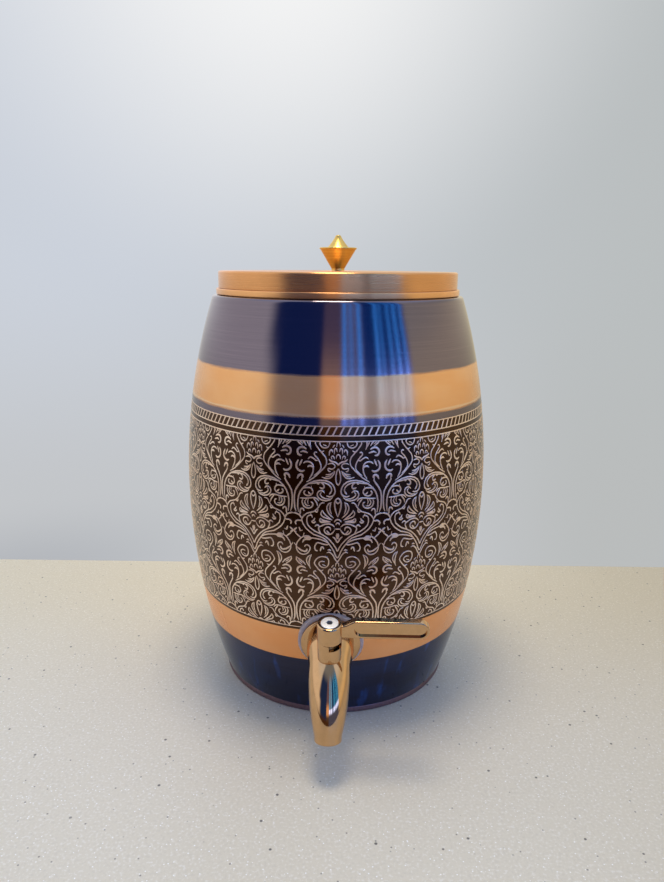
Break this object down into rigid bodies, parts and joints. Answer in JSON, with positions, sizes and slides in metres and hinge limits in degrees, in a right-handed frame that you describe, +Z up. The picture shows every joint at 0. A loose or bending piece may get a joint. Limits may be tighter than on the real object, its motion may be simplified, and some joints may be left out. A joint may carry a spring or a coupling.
{
  "type": "copper water dispenser",
  "caption": "Barrel-shaped brushed copper water dispenser with dark lacquered bands, a scroll pattern band, a lift-off lid with a brass knob and a quarter-turn tap.",
  "frame": {"origin": "centre of the foot rim's underside, on the barrel's axis", "axes": "+Z up along the barrel's axis, -Y out of the front along the tap, +X towards the closed lever's tip"},
  "size_m": [0.181, 0.2186, 0.2666],
  "materials": {
    "copper_and_lacquer": "fine horizontal brushed copper with dark blue-black lacquered bands and a copper scroll pattern",
    "copper": "fine brushed copper",
    "knob_brass": "turned polished brass",
    "gland_brass": "plain machined brass",
    "tap_plating": "mirror-polished rose gold plate",
    "steel": "plain stainless steel",
    "pale_steel": "pale satin steel",
    "silicone": "translucent silicone",
    "white_polymer": "smooth white polymer",
    "black_rubber": "black rubber"
  },
  "bodies": {
    "vessel": {"barrel_shell": "copper_and_lacquer", "base_pan": "copper", "mouth_ring": "copper", "tap_body": "tap_plating", "tap_shank": "steel", "gasket_outer": "silicone", "gasket_inner": "silicone", "shank_washer": "steel", "shank_nut": "steel", "valve_seat_front": "white_polymer", "valve_seat_rear": "white_polymer", "stem_seal_lower": "black_rubber", "stem_seal_upper": "black_rubber", "stem_washer": "white_polymer", "gland_nut": "gland_brass"},
    "lid": {"lid_shell": "copper", "lid_knob": "knob_brass", "knob_screw": "steel", "knob_washer": "steel"},
    "lever_set": {"lever": "tap_plating", "lever_screw": "pale_steel", "lever_washer": "steel", "valve_stem": "steel", "valve_ball": "steel"}
  },
  "joints": [
    {"name": "lid_lift", "type": "slide", "parent": "vessel", "child": "lid", "axis": [0, 0, 1], "range_m": [0, 0.06]},
    {"name": "lever_turn", "type": "hinge", "parent": "vessel", "child": "lever_set", "pos_m": [0, -0.10374, 0.05079], "axis": [0, -0.1855, 0.9826], "range_deg": [-90, 0]}
  ]
}
